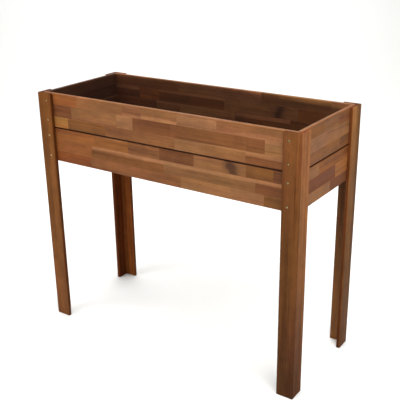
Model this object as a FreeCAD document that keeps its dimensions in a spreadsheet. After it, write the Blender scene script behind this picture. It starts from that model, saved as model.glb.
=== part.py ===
import FreeCAD, Part
import os
import Sketcher

# A raised planter: an open wooden trough on four tall legs. Each leg is an L-section
# post. Two boards per side are screwed to the inside of the leg flanges, and the floor
# is a row of spaced slats screwed down to two cleats. X runs along the trough, Y from
# front to back and Z up; the origin is on the ground under the middle of the trough.

DRIVING_SIZES = (
    ("overall_length", 940, "outside of the legs, along X"),
    ("overall_depth", 380, "outside of the legs, along Y"),
    ("overall_height", 800, "ground to the top of the legs and boards"),
    ("leg_flange", 54, "width of each flange of a leg"),
    ("leg_thickness", 12, "thickness of a leg flange"),
    ("leg_cove", 8, "hollow radius in the inner corner of a leg"),
    ("leg_round", 2.5, "rounding along the edges and ends of a leg"),
    ("board_thickness", 12, "thickness of a wall board"),
    ("board_height", 111, "height of one wall board, three glued staves"),
    ("board_gap", 3, "gap between the upper and the lower board"),
    ("board_round", 3, "rounding along the long edges of a board"),
    ("fit_gap", 0.3, "clearance where one piece butts against another"),
    ("cleat_depth", 20, "cleat size away from the wall"),
    ("cleat_height", 20, "cleat size upwards"),
    ("cleat_rise", 4, "cleat above the lower edge of the board"),
    ("cleat_round", 2, "rounding along the free edge of a cleat"),
    ("slat_count", 8, "number of floor slats"),
    ("slat_thickness", 12, "thickness of a floor slat"),
    ("slat_end_gap", 2, "room between a slat end and the wall"),
    ("slat_round", 2, "rounding along the upper edges of a slat"),
    ("drain_gap", 11, "gap that lets water out between two slats"),
    ("front_screw_edge", 18, "screw to the free edge of a front or back flange"),
    ("side_screw_edge", 15, "screw to the free edge of a side flange"),
    ("front_screw_rise", 24, "front and back screws to the edge of their board"),
    ("lowest_screw_rise", 19, "lowest front and back screws to the board's lower edge"),
    ("side_screw_rise", 28, "side screws to the edge of their board"),
    ("lowest_side_rise", 46, "lowest side screws, clear above the floor"),
    ("slat_screw_edge", 20, "slat screws to the long edge of their slat"),
    ("shank_diameter", 4, "screw shank"),
    ("head_diameter", 8, "countersunk screw head"),
    ("head_sink", 0.2, "head below the surface of the wood"),
    ("recess_length", 4.4, "cross recess, end to end"),
    ("recess_width", 1.1, "cross recess, width of one slot"),
    ("recess_depth", 1.4, "cross recess, depth"),
    ("point_length", 4, "cone at the end of a screw"),
    ("screw_clearance", 0.1, "room around and under a screw"),
    ("screw_cover", 2, "wood left in front of the point of a wall screw"),
    ("slat_screw_bite", 13, "length of a slat screw inside its cleat"),
)
COUNTERSINK_ANGLE = 90      # degrees
SCREW_SPIN = 37             # degrees, each cross recess turned on from the last
EDGE_TOLERANCE = 1e-4
LONG_EDGE = 50              # an edge longer than this runs along a board

doc = FreeCAD.newDocument("raised_planter")
sheet = doc.addObject("Spreadsheet::Sheet", "sizes")
for row, (alias, number, note) in enumerate(DRIVING_SIZES, start=1):
    sheet.set("A%d" % row, alias)
    sheet.set("B%d" % row, str(number))
    sheet.set("C%d" % row, note)
    sheet.setAlias("B%d" % row, alias)
doc.recompute()


def size(alias):
    """One driving size as a number."""
    return float(sheet.get(alias))


# Sizes that follow from the driving ones, as formulas that the features are bound to.
LONG_WALL_OFFSET = "(sizes.overall_depth / 2 - sizes.leg_thickness)"
END_WALL_OFFSET = "(sizes.overall_length / 2 - sizes.leg_thickness)"
LONG_BOARD_LENGTH = "(2 * %s - 2 * sizes.fit_gap)" % END_WALL_OFFSET
INNER_LENGTH = "(2 * %s - 2 * sizes.board_thickness)" % END_WALL_OFFSET
INNER_DEPTH = "(2 * %s - 2 * sizes.board_thickness)" % LONG_WALL_OFFSET
END_BOARD_LENGTH = "(%s - 2 * sizes.fit_gap)" % INNER_DEPTH
BOARD_BASE = {
    "upper": "(sizes.overall_height - sizes.board_height)",
    "lower": "(sizes.overall_height - 2 * sizes.board_height - sizes.board_gap)",
}
FRONT_SCREW_INSET = "(sizes.leg_flange - sizes.front_screw_edge)"
SIDE_SCREW_INSET = "(sizes.leg_flange - sizes.side_screw_edge)"
FRONT_SCREW_RISES = {
    "upper": ("sizes.front_screw_rise", "(sizes.board_height - sizes.front_screw_rise)"),
    "lower": ("sizes.lowest_screw_rise", "(sizes.board_height - sizes.front_screw_rise)"),
}
SIDE_SCREW_RISES = {
    "upper": ("sizes.side_screw_rise", "(sizes.board_height - sizes.side_screw_rise)"),
    "lower": ("sizes.lowest_side_rise", "(sizes.board_height - sizes.side_screw_rise)"),
}
SCREW_HOLE = "(sizes.shank_diameter + 2 * sizes.screw_clearance)"
HEAD_HOLE = "(sizes.head_diameter + 2 * sizes.head_sink + 2 * sizes.screw_clearance)"
WALL_BITE = "(sizes.board_thickness - sizes.screw_cover)"
FLANGE_BITE = "(sizes.leg_thickness - sizes.screw_cover)"
PILOT_EXTRA = " + sizes.head_sink + sizes.screw_clearance"
CLEAT_LENGTH = "(%s - 2 * sizes.fit_gap)" % INNER_LENGTH
CLEAT_BASE = "(%s + sizes.cleat_rise)" % BOARD_BASE["lower"]
SLAT_WIDTH = "((%s - (sizes.slat_count + 1) * sizes.drain_gap) / sizes.slat_count)" % INNER_LENGTH
SLAT_LENGTH = "(%s - 2 * sizes.slat_end_gap)" % INNER_DEPTH
SLAT_PITCH = "(%s + sizes.drain_gap)" % SLAT_WIDTH


# Building blocks of the bodies.
def new_body(label, turn=0, x="0", y="0", z="0"):
    """A body with its own label, turned about Z and placed by three formulas."""
    body = doc.addObject("PartDesign::Body", label)
    body.Label = label
    body.Placement = FreeCAD.Placement(
        FreeCAD.Vector(), FreeCAD.Rotation(FreeCAD.Vector(0, 0, 1), turn))
    body.setExpression("Placement.Base.x", x)
    body.setExpression("Placement.Base.y", y)
    body.setExpression("Placement.Base.z", z)
    return body


def new_sketch(body, name, role, offset="0"):
    """A sketch on one of the body's origin planes, moved along that plane's normal."""
    planes = [item for item in body.Origin.OriginFeatures if item.Role == role]
    sketch = body.newObject("Sketcher::SketchObject", name)
    sketch.AttachmentSupport = (planes[0], [""])
    sketch.MapMode = "FlatFace"
    sketch.setExpression("AttachmentOffset.Base.z", offset)
    return sketch


def hold_distance(sketch, axis, first, second, formula):
    """Keep two points of a sketch a distance apart along X or Y, in their present order."""
    start = sketch.getPoint(*first)
    end = sketch.getPoint(*second)
    present = getattr(end, axis.lower()) - getattr(start, axis.lower())
    if present < 0:
        first, second = second, first
    rule = Sketcher.Constraint("Distance" + axis, *first, *second, abs(present))
    index = sketch.addConstraint(rule)
    sketch.setExpression("Constraints[%d]" % index, formula)


def draw_outline(sketch, corners, centred=False):
    """A closed outline of straight lines, its first corner or its middle on the origin."""
    count = len(corners)
    points = [FreeCAD.Vector(x, y, 0) for x, y in corners]
    for index in range(count):
        sketch.addGeometry(Part.LineSegment(points[index], points[(index + 1) % count]))
    for index in range(count):
        line = points[(index + 1) % count] - points[index]
        sketch.addConstraint(Sketcher.Constraint("Coincident", index, 2, (index + 1) % count, 1))
        if line.y == 0:
            sketch.addConstraint(Sketcher.Constraint("Horizontal", index))
        if line.x == 0:
            sketch.addConstraint(Sketcher.Constraint("Vertical", index))
    if centred:
        sketch.addConstraint(Sketcher.Constraint("Symmetric", 0, 1, count // 2, 1, -1, 1))
    else:
        sketch.addConstraint(Sketcher.Constraint("Coincident", 0, 1, -1, 1))


def pad_block(body, along_x, along_y, height):
    """A rectangular block from the body's origin, sized by three formulas."""
    sketch = new_sketch(body, "section", "XY_Plane")
    draw_outline(sketch, ((0, 0), (1, 0), (1, 1), (0, 1)))
    hold_distance(sketch, "X", (0, 1), (0, 2), along_x)
    hold_distance(sketch, "Y", (1, 1), (1, 2), along_y)
    pad_sketch(body, sketch, height)


def pad_sketch(body, sketch, height):
    """Pad a sketch upwards by a formula."""
    pad = body.newObject("PartDesign::Pad", "pad")
    pad.Profile = sketch
    pad.setExpression("Length", height)
    doc.recompute()


def is_level(edge):
    """True for an edge that lies level, at one height."""
    return edge.BoundBox.ZLength < EDGE_TOLERANCE


def is_upright(edge):
    """True for an edge that stands straight up."""
    return edge.BoundBox.XLength < EDGE_TOLERANCE and edge.BoundBox.YLength < EDGE_TOLERANCE


def passes_any(edge, spots):
    """True where an upright edge stands on one of the (x, y) spots."""
    foot = edge.Vertexes[0].Point
    return any(abs(foot.x - x) < EDGE_TOLERANCE and abs(foot.y - y) < EDGE_TOLERANCE
               for x, y in spots)


def round_edges(body, radius, chosen):
    """Fillet the edges of the body's last feature that pass the chosen test."""
    solid = body.Tip
    names = []
    for number, edge in enumerate(solid.Shape.Edges, start=1):
        if chosen(edge):
            names.append("Edge%d" % number)
    fillet = body.newObject("PartDesign::Fillet", "rounding")
    fillet.Base = (solid, names)
    fillet.setExpression("Radius", radius)
    doc.recompute()


def drill(body, name, sketch, centres, depth, countersunk=False, reverse=False):
    """Screw holes at the centres, each (side of the sketch's Y axis, X formula, Y formula)."""
    radius = size("shank_diameter") / 2
    for number, (side, across, up) in enumerate(centres):
        middle = FreeCAD.Vector(side * (number + 1) * size("head_diameter"), size("head_diameter"), 0)
        sketch.addGeometry(Part.Circle(middle, FreeCAD.Vector(0, 0, 1), radius))
        hold_distance(sketch, "X", (-1, 1), (number, 3), across)
        hold_distance(sketch, "Y", (-1, 1), (number, 3), up)
        index = sketch.addConstraint(Sketcher.Constraint("Radius", number, radius))
        sketch.setExpression("Constraints[%d]" % index, "sizes.shank_diameter / 2")
    doc.recompute()
    solid_volume = body.Shape.Volume
    hole = body.newObject("PartDesign::Hole", name)
    hole.Profile = sketch
    hole.Reversed = reverse
    hole.DrillPoint = "Flat"
    hole.setExpression("Diameter", SCREW_HOLE)
    hole.DepthType = "Dimension"
    hole.setExpression("Depth", depth)
    if countersunk:
        hole.HoleCutType = "Countersink"
        hole.HoleCutCustomValues = True
        hole.HoleCutCountersinkAngle = COUNTERSINK_ANGLE
        hole.setExpression("HoleCutDiameter", HEAD_HOLE)
    doc.recompute()
    if body.Shape.Volume >= solid_volume:
        raise RuntimeError("%s cuts nothing from %s" % (name, body.Label))


# Legs: one L-section post at each corner, as tall as the planter. The two hands are
# mirror images, and a leg of the same hand turned half round stands at the far corner.
# Front and back flanges take screws from outside; side flanges only have blind holes on
# the inside, for the screws of the end boards.
def make_leg(label, hand, turn):
    """A leg whose outer corner is its origin; hand is +1 where the flange runs to -X."""
    corner_x = "%s sizes.overall_length / 2" % ("" if (hand > 0) == (turn == 0) else "-")
    corner_y = "%s sizes.overall_depth / 2" % ("-" if turn == 0 else "")
    body = new_body(label, turn, corner_x, corner_y)
    flange = -hand * size("leg_flange")
    thickness = -hand * size("leg_thickness")
    corners = (
        (0, 0),
        (flange, 0),
        (flange, size("leg_thickness")),
        (thickness, size("leg_thickness")),
        (thickness, size("leg_flange")),
        (0, size("leg_flange")),
    )
    section = new_sketch(body, "section", "XY_Plane")
    draw_outline(section, corners)
    hold_distance(section, "X", (0, 1), (0, 2), "sizes.leg_flange")
    hold_distance(section, "Y", (1, 1), (1, 2), "sizes.leg_thickness")
    hold_distance(section, "X", (4, 1), (4, 2), "sizes.leg_thickness")
    hold_distance(section, "Y", (5, 1), (5, 2), "sizes.leg_flange")
    pad_sketch(body, section, "sizes.overall_height")
    inner = (thickness, size("leg_thickness"))
    outer = [corner for corner in corners if corner != inner]
    round_edges(body, "sizes.leg_cove",
                lambda edge: is_upright(edge) and passes_any(edge, [inner]))
    round_edges(body, "sizes.leg_round",
                lambda edge: is_upright(edge) and passes_any(edge, outer) or is_level(edge))
    front_sketch = new_sketch(body, "front_flange_screws", "XZ_Plane")
    side_sketch = new_sketch(body, "side_flange_screws", "YZ_Plane",
                             "%s sizes.leg_thickness" % ("-" if hand > 0 else ""))
    front_centres = []
    side_centres = []
    for level in BOARD_BASE:
        for rise in FRONT_SCREW_RISES[level]:
            front_centres.append((-hand, FRONT_SCREW_INSET, BOARD_BASE[level] + " + " + rise))
        for rise in SIDE_SCREW_RISES[level]:
            side_centres.append((1, SIDE_SCREW_INSET, BOARD_BASE[level] + " + " + rise))
    drill(body, "front_flange_holes", front_sketch, front_centres,
          "sizes.leg_thickness + sizes.screw_clearance", countersunk=True)
    drill(body, "side_flange_holes", side_sketch, side_centres, FLANGE_BITE + PILOT_EXTRA,
          reverse=hand > 0)
    return body, front_sketch


legs = {
    "leg_front_right": make_leg("leg_front_right", 1, 0),
    "leg_front_left": make_leg("leg_front_left", -1, 0),
    "leg_back_left": make_leg("leg_back_left", 1, 180),
    "leg_back_right": make_leg("leg_back_right", -1, 180),
}


# Wall boards: two above each other on each side, flat against the inside of the leg
# flanges. The long boards run the whole way between the side flanges, with their outer
# corners rounded to sit in the hollow of the leg. The end boards butt between them and
# are screwed to the side flanges from inside the trough.
def cleat_screw_places():
    """Distances of the cleat screws from the inside of the left wall, one per second gap."""
    gaps = range(1, int(size("slat_count")), 2)
    return ["(%d * %s + sizes.drain_gap / 2)" % (gap, SLAT_PITCH) for gap in gaps]


def make_board(side, level):
    """One wall board, its outer face on the XZ plane and its left lower corner at the origin."""
    turn = {"front": 0, "right": 90, "back": 180, "left": 270}[side]
    is_long = side in ("front", "back")
    length = LONG_BOARD_LENGTH if is_long else END_BOARD_LENGTH
    wall = LONG_WALL_OFFSET if is_long else END_WALL_OFFSET
    half = length + " / 2"
    place_x = {"front": "-" + half, "right": wall, "back": half, "left": "-" + wall}[side]
    place_y = {"front": "-" + wall, "right": "-" + half, "back": wall, "left": half}[side]
    body = new_body("%s_board_%s" % (side, level), turn, place_x, place_y, BOARD_BASE[level])
    pad_block(body, length, "sizes.board_thickness", "sizes.board_height")
    if is_long:
        outer_corners = [(0, 0), (body.Tip.Shape.BoundBox.XMax, 0)]
        round_edges(body, "(sizes.leg_cove + sizes.fit_gap)",
                    lambda edge: is_upright(edge) and passes_any(edge, outer_corners))
    round_edges(body, "sizes.board_round",
                lambda edge: is_level(edge) and edge.BoundBox.XLength > LONG_EDGE)
    if is_long:
        inset = "(%s - sizes.leg_thickness - sizes.fit_gap)" % FRONT_SCREW_INSET
        rises = FRONT_SCREW_RISES[level]
    else:
        inset = "(%s - sizes.leg_thickness - sizes.board_thickness - sizes.fit_gap)" % SIDE_SCREW_INSET
        rises = SIDE_SCREW_RISES[level]
    centres = []
    for rise in rises:
        centres.append((1, inset, rise))
        centres.append((1, "%s - %s" % (length, inset), rise))
    if is_long:
        leg_sketch = new_sketch(body, "leg_screws", "XZ_Plane")
        drill(body, "leg_screw_holes", leg_sketch, centres, WALL_BITE + PILOT_EXTRA)
    else:
        leg_sketch = new_sketch(body, "leg_screws", "XZ_Plane", "-sizes.board_thickness")
        drill(body, "leg_screw_holes", leg_sketch, centres,
              "sizes.board_thickness + sizes.screw_clearance", countersunk=True, reverse=True)
    if is_long and level == "lower":
        start = "(sizes.board_thickness - sizes.fit_gap)"
        centres = []
        for place in cleat_screw_places():
            centres.append((1, start + " + " + place, "sizes.cleat_rise + sizes.cleat_height / 2"))
        sketch = new_sketch(body, "cleat_screws", "XZ_Plane", "-sizes.board_thickness")
        drill(body, "cleat_screw_holes", sketch, centres,
              WALL_BITE + PILOT_EXTRA, reverse=True)
    return body, leg_sketch


boards = {(side, level): make_board(side, level)
          for level in BOARD_BASE for side in ("front", "right", "back", "left")}


# Floor: a cleat along the inside of each lower long board carries the ends of the slats.
def slat_screw_places():
    """Distances of all the slat screws from the inside of the left wall, as formulas."""
    places = []
    for number in range(int(size("slat_count"))):
        start = "(sizes.drain_gap + %d * %s)" % (number, SLAT_PITCH)
        places.append("(%s + sizes.slat_screw_edge)" % start)
        places.append("(%s + %s - sizes.slat_screw_edge)" % (start, SLAT_WIDTH))
    return places


def make_cleat(side):
    """A cleat against the inside of a long board, screwed to it from within."""
    front = side == "front"
    half = CLEAT_LENGTH + " / 2"
    wall = "(%s - sizes.board_thickness)" % LONG_WALL_OFFSET
    body = new_body("%s_cleat" % side, 0 if front else 180,
                    "-" + half if front else half, "-" + wall if front else wall, CLEAT_BASE)
    pad_block(body, CLEAT_LENGTH, "sizes.cleat_depth", "sizes.cleat_height")
    depth = size("cleat_depth")
    round_edges(body, "sizes.cleat_round",
                lambda edge: is_level(edge) and edge.BoundBox.YMin > depth - EDGE_TOLERANCE)
    across = [(1, place + " - sizes.fit_gap", "sizes.cleat_height / 2")
              for place in cleat_screw_places()]
    wall_sketch = new_sketch(body, "cleat_screws", "XZ_Plane", "-sizes.cleat_depth")
    drill(body, "cleat_screw_holes", wall_sketch, across,
          "sizes.cleat_depth + sizes.screw_clearance", countersunk=True, reverse=True)
    down = [(1, place + " - sizes.fit_gap", "sizes.cleat_depth / 2")
            for place in slat_screw_places()]
    top_sketch = new_sketch(body, "slat_screws", "XY_Plane", "sizes.cleat_height")
    drill(body, "slat_screw_holes", top_sketch, down, "sizes.slat_screw_bite" + PILOT_EXTRA)
    return body, wall_sketch


def make_slat(number):
    """A floor slat across the trough, counted from the left and screwed to both cleats."""
    place_x = "-%s / 2 + sizes.drain_gap + %d * %s" % (INNER_LENGTH, number, SLAT_PITCH)
    place_z = CLEAT_BASE + " + sizes.cleat_height"
    body = new_body("floor_slat_%d" % (number + 1), 0, place_x, "-%s / 2" % SLAT_LENGTH, place_z)
    pad_block(body, SLAT_WIDTH, SLAT_LENGTH, "sizes.slat_thickness")
    top = size("slat_thickness")
    round_edges(body, "sizes.slat_round",
                lambda edge: is_level(edge) and edge.BoundBox.ZMin > top - EDGE_TOLERANCE)
    near_end = "(sizes.cleat_depth / 2 - sizes.slat_end_gap)"
    far_end = "(%s - %s)" % (SLAT_LENGTH, near_end)
    edge_gap = "sizes.slat_screw_edge"
    centres = [(1, across, along)
               for across in (edge_gap, "(%s - %s)" % (SLAT_WIDTH, edge_gap))
               for along in (near_end, far_end)]
    sketch = new_sketch(body, "slat_screws", "XY_Plane", "sizes.slat_thickness")
    drill(body, "slat_screw_holes", sketch, centres,
          "sizes.slat_thickness + sizes.screw_clearance", countersunk=True)
    return body, sketch


cleats = [make_cleat(side) for side in ("front", "back")]
slats = [make_slat(number) for number in range(int(size("slat_count")))]


# Screws: countersunk heads with a cross recess, one pattern for each length.
def make_screw(label, length):
    """A screw with the middle of its head on the origin, pointing down."""
    body = new_body(label)
    head = size("head_diameter") / 2
    shank = size("shank_diameter") / 2
    point = size("point_length")
    profile = new_sketch(body, "profile", "XZ_Plane")
    draw_outline(profile, (
        (0, 0),
        (head, 0),
        (shank, shank - head),
        (shank, -3 * point),
        (0, -4 * point),
    ))
    taper = "(sizes.head_diameter - sizes.shank_diameter) / 2"
    hold_distance(profile, "X", (0, 1), (0, 2), "sizes.head_diameter / 2")
    hold_distance(profile, "X", (1, 1), (1, 2), taper)
    hold_distance(profile, "Y", (1, 1), (1, 2), taper)
    hold_distance(profile, "Y", (3, 1), (3, 2), "sizes.point_length")
    hold_distance(profile, "Y", (4, 1), (4, 2), length)
    turned = body.newObject("PartDesign::Revolution", "turned_shape")
    turned.Profile = profile
    turned.ReferenceAxis = (profile, ["V_Axis"])
    turned.Angle = 360
    doc.recompute()
    slots = (("sizes.recess_length", "sizes.recess_width"),
             ("sizes.recess_width", "sizes.recess_length"))
    for across, along in slots:
        slot = new_sketch(body, "slot", "XY_Plane")
        draw_outline(slot, ((-1, -1), (1, -1), (1, 1), (-1, 1)), centred=True)
        hold_distance(slot, "X", (0, 1), (0, 2), across)
        hold_distance(slot, "Y", (1, 1), (1, 2), along)
        solid_volume = body.Shape.Volume
        pocket = body.newObject("PartDesign::Pocket", "recess")
        pocket.Profile = slot
        pocket.setExpression("Length", "sizes.recess_depth")
        doc.recompute()
        if body.Shape.Volume >= solid_volume:
            raise RuntimeError("the recess cuts nothing from " + label)
    return body


def set_screws(label, screw, holes):
    """One screw for each hole of the listed (body, sketch, side that the heads face)."""
    placed = []
    for body, sketch, facing in holes:
        flip = FreeCAD.Rotation(FreeCAD.Vector(1, 0, 0), 0 if facing > 0 else 180)
        for circle in sketch.Geometry:
            spin = FreeCAD.Rotation(FreeCAD.Vector(0, 0, 1), SCREW_SPIN * len(placed))
            hole = FreeCAD.Placement(circle.Center, flip)
            seat = FreeCAD.Placement(FreeCAD.Vector(0, 0, -size("head_sink")), spin)
            copy = screw.Shape.copy()
            copy.Placement = body.Placement * sketch.Placement * hole * seat
            placed.append(copy)
    group = doc.addObject("Part::Feature", label)
    group.Label = label
    group.Shape = Part.makeCompound(placed)
    return group


wall_screw = make_screw("wall_screw", "(sizes.leg_thickness + %s)" % WALL_BITE)
cleat_screw = make_screw("cleat_screw", "(sizes.cleat_depth + %s)" % WALL_BITE)
slat_screw = make_screw("slat_screw", "(sizes.slat_thickness + sizes.slat_screw_bite)")
screw_groups = []
for label, (leg, front_sketch) in legs.items():
    holes = [(leg, front_sketch, 1)]
    screw_groups.append(set_screws("screws_" + label, wall_screw, holes))
for side in ("right", "left"):
    holes = [(*boards[side, level], -1) for level in BOARD_BASE]
    screw_groups.append(set_screws("screws_%s_boards" % side, wall_screw, holes))
for cleat, wall_sketch in cleats:
    holes = [(cleat, wall_sketch, -1)]
    screw_groups.append(set_screws("screws_" + cleat.Label, cleat_screw, holes))
holes = [(slat, sketch, 1) for slat, sketch in slats]
screw_groups.append(set_screws("screws_floor_slats", slat_screw, holes))

# Every feature must have worked before any file is written.
doc.recompute()
for item in doc.Objects:
    if "Invalid" in item.State or "Error" in item.State:
        raise RuntimeError("%s (%s) failed" % (item.Name, item.Label))
nodes = [leg for leg, front_sketch in legs.values()]
nodes += [board for board, leg_sketch in boards.values()]
nodes += [cleat for cleat, wall_sketch in cleats]
nodes += [slat for slat, sketch in slats]
nodes += screw_groups
for node in nodes:
    if node.Shape.isNull() or not node.Shape.isValid():
        raise RuntimeError("%s has no valid shape" % node.Label)

os.makedirs("parts", exist_ok=True)
for node in nodes:
    node.Shape.exportStep(os.path.join("parts", node.Label + ".step"))
print("%d nodes written" % len(nodes))
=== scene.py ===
import math

import bpy
import numpy as np
from mathutils import Matrix, Vector


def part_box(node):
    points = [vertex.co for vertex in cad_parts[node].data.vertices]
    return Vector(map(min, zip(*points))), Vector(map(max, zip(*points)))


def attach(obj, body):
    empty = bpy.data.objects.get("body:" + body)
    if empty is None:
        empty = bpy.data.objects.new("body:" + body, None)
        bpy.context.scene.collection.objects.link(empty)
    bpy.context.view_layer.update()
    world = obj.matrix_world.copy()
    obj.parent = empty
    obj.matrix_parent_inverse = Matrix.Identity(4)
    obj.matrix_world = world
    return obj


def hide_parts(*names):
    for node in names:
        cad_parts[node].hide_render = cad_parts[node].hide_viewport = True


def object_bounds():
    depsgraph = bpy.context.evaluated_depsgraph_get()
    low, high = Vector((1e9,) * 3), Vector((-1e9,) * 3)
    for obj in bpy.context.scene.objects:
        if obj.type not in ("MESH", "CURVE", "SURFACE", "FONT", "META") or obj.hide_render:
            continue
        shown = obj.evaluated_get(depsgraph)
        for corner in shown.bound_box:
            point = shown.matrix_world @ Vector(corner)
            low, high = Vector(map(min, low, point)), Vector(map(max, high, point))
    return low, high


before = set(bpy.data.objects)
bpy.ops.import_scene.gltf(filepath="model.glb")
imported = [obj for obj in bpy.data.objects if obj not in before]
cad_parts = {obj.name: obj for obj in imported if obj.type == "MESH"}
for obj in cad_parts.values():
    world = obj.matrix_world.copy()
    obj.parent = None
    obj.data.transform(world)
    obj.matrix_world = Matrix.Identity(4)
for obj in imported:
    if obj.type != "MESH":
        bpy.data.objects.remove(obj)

cad_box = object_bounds()

# ---------------------------------------------------------------------------------------
# Wall boards.
# Each board is a panel of three rows of acacia staves, finger-jointed end to end and
# glued edge to edge, then planed to 12 mm, rounded along its long edges and oiled. Long
# boards are screwed on through the legs from outside, end boards from inside the trough.
# ---------------------------------------------------------------------------------------
MM = 0.001                           # sizes and places are in mm, and scene units in metres
STAVE_ROWS = (36.0, 39.0, 36.0)      # heights of the three rows, top to bottom
BOARD_ROUND = 3.0                    # rounding of the long edges
GLUE_ROUND = 0.3                     # arris left along each glue line
LEG_HOLLOW = 8.3                     # rounding of a long board's end where it meets the leg
CORNER_STEPS = 6                     # points round a quarter circle of the section
END_STEPS = 4                        # stations round the arris at a stave's end
NOSE_STEPS = 10                      # stations along a board's rounded end
NOSE_START = 0.08                    # first of them, as a share of the rounding

# Heartwood colours after oiling, from the golden young wood to the dark purple heart.
TONES = {
    "honey": "#95602F",
    "tan": "#865A35",
    "clay": "#7E522F",
    "blush": "#8A5D3A",
    "amber": "#824D23",
    "russet": "#794B28",
    "rust": "#723C19",
    "chestnut": "#724524",
    "walnut": "#6D431E",
    "plum": "#6A3E20",
    "umber": "#5E371B",
    "sapwood": "#90603C",
}
# Tones that the boards laid by chance go without.
RARE_TONES = ("sapwood", "umber", "rust", "honey", "chestnut")

# Staves of the front and right boards: each row runs from the left end of the board, and
# each stave is (where it ends, tone, width of a pale strip), in mm from the middle of the
# board. The strip lies along the upper edge, or along the lower edge where it is negative.
LAID_STAVES = {
    "front_board_upper": (
        ((-316, "amber", 0), (-130, "clay", 0), (-60, "clay", -10), (70, "clay", -11),
         (205, "blush", 0), (460, "clay", -15)),
        ((-340, "plum", 0), (-155, "clay", 0), (-92, "blush", 0), (47, "plum", 0),
         (75, "plum", 0), (300, "chestnut", 0), (357, "chestnut", 0), (460, "tan", 9)),
        ((-357, "honey", 0), (-203, "walnut", 0), (60, "russet", 0), (168, "tan", 0),
         (298, "clay", 5), (460, "chestnut", 14)),
    ),
    "front_board_lower": (
        ((-250, "amber", 0), (-115, "amber", 4), (4, "russet", 0), (126, "plum", 0),
         (300, "clay", 0), (385, "walnut", 0), (460, "umber", 0)),
        ((-263, "amber", 0), (18, "walnut", 13), (330, "clay", 12), (460, "plum", 11)),
        ((-270, "rust", 0), (80, "russet", 0), (250, "tan", 0), (357, "tan", 0),
         (460, "walnut", 0)),
    ),
    "right_board_upper": (
        ((-30, "russet", 0), (60, "clay", 0), (170, "russet", 0)),
        ((-12, "blush", 0), (170, "tan", 0)),
        ((-38, "russet", 0), (74, "russet", 0), (170, "chestnut", 0)),
    ),
    "right_board_lower": (
        ((-53, "tan", 0), (170, "amber", 0)),
        ((54, "rust", 0), (170, "honey", 0)),
        ((22, "tan", 0), (170, "plum", 0)),
    ),
}
# The other boards are laid by chance, with staves of these lengths and pale strips.
SHORTEST_STAVE = 70
LONGEST_STAVE = 330
CHANCE_STRIPS = (0, 0, 0, 9, 13)
CHANCE_SEED = 811
# Where staves were sawn from the log, in mm along it, across it and from its heart, and
# how much one stave's shade differs from its tone.
LOG_PLACES = ((-9000, -30, 14), (9000, 30, 60))
SHADE_SPREAD = 0.04
# Knots: board, row, distance from the middle of the board, height in the row, in mm.
KNOTS = (
    ("front_board_lower", 0, 253, 18),
    ("back_board_upper", 1, -210, 15),
    ("back_board_lower", 2, 120, 22),
    ("left_board_upper", 2, 40, 14),
)
NO_KNOT = 1000.0                     # a knot this far away leaves no mark
KNOT_LEAN = 0.4                      # how far a knot leans along the board as it rises
# The edges that face the gap between the boards get painted shade, almost black: which row, and
# which way its edge faces.
SEAM_EDGES = {"upper": (2, -1), "lower": (0, 1)}
# What each point of a board carries for its material, and how it is stored.
POINT_DATA = {
    "grain": ("FLOAT_VECTOR", "vector"),
    "tint": ("FLOAT_COLOR", "color"),
    "sap": ("FLOAT_COLOR", "color"),
    "strip": ("FLOAT_VECTOR", "vector"),
    "knot": ("FLOAT_VECTOR", "vector"),
    "inside": ("FLOAT", "value"),
}
draw = np.random.default_rng(CHANCE_SEED)


def linear(hex_colour):
    """An sRGB hex colour as linear RGBA: each channel by the sRGB decoding curve."""
    coded = np.array([int(hex_colour[i:i + 2], 16) for i in (1, 3, 5)]) / 255
    decoded = np.where(coded <= 0.04045, coded / 12.92, ((coded + 0.055) / 1.055) ** 2.4)
    return (*decoded.tolist(), 1.0)


def chance_staves(half_length):
    """Three rows of staves of random length and tone, for the boards laid by chance."""
    tones = [name for name in TONES if name not in RARE_TONES]
    rows = []
    for _ in STAVE_ROWS:
        row = []
        end = -half_length
        while end < half_length:
            end += draw.uniform(SHORTEST_STAVE, LONGEST_STAVE)
            if half_length - end < SHORTEST_STAVE:
                end = half_length
            strip = draw.choice(CHANCE_STRIPS)
            row.append((end, tones[draw.integers(len(tones))], strip))
        rows.append(row)
    return rows


def rounded_section(low, high, low_round, high_round, thickness):
    """Outline of a stave's cross-section in (through, up), with its outward normals.

    A rectangle whose four corners are quarter circles: each point is a corner's centre
    plus its radius times (cos a, sin a), and the normal is (cos a, sin a)."""
    angles = np.linspace(0, math.pi / 2, CORNER_STEPS)
    corners = (
        (thickness - high_round, high - high_round, high_round, 0.0),
        (high_round, high - high_round, high_round, math.pi / 2),
        (low_round, low + low_round, low_round, math.pi),
        (thickness - low_round, low + low_round, low_round, 1.5 * math.pi),
    )
    points = []
    normals = []
    for through, up, radius, start in corners:
        direction = np.stack([np.cos(start + angles), np.sin(start + angles)], 1)
        points.append(np.array([through, up]) + radius * direction)
        normals.append(direction)
    return np.concatenate(points), np.concatenate(normals)


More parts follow.
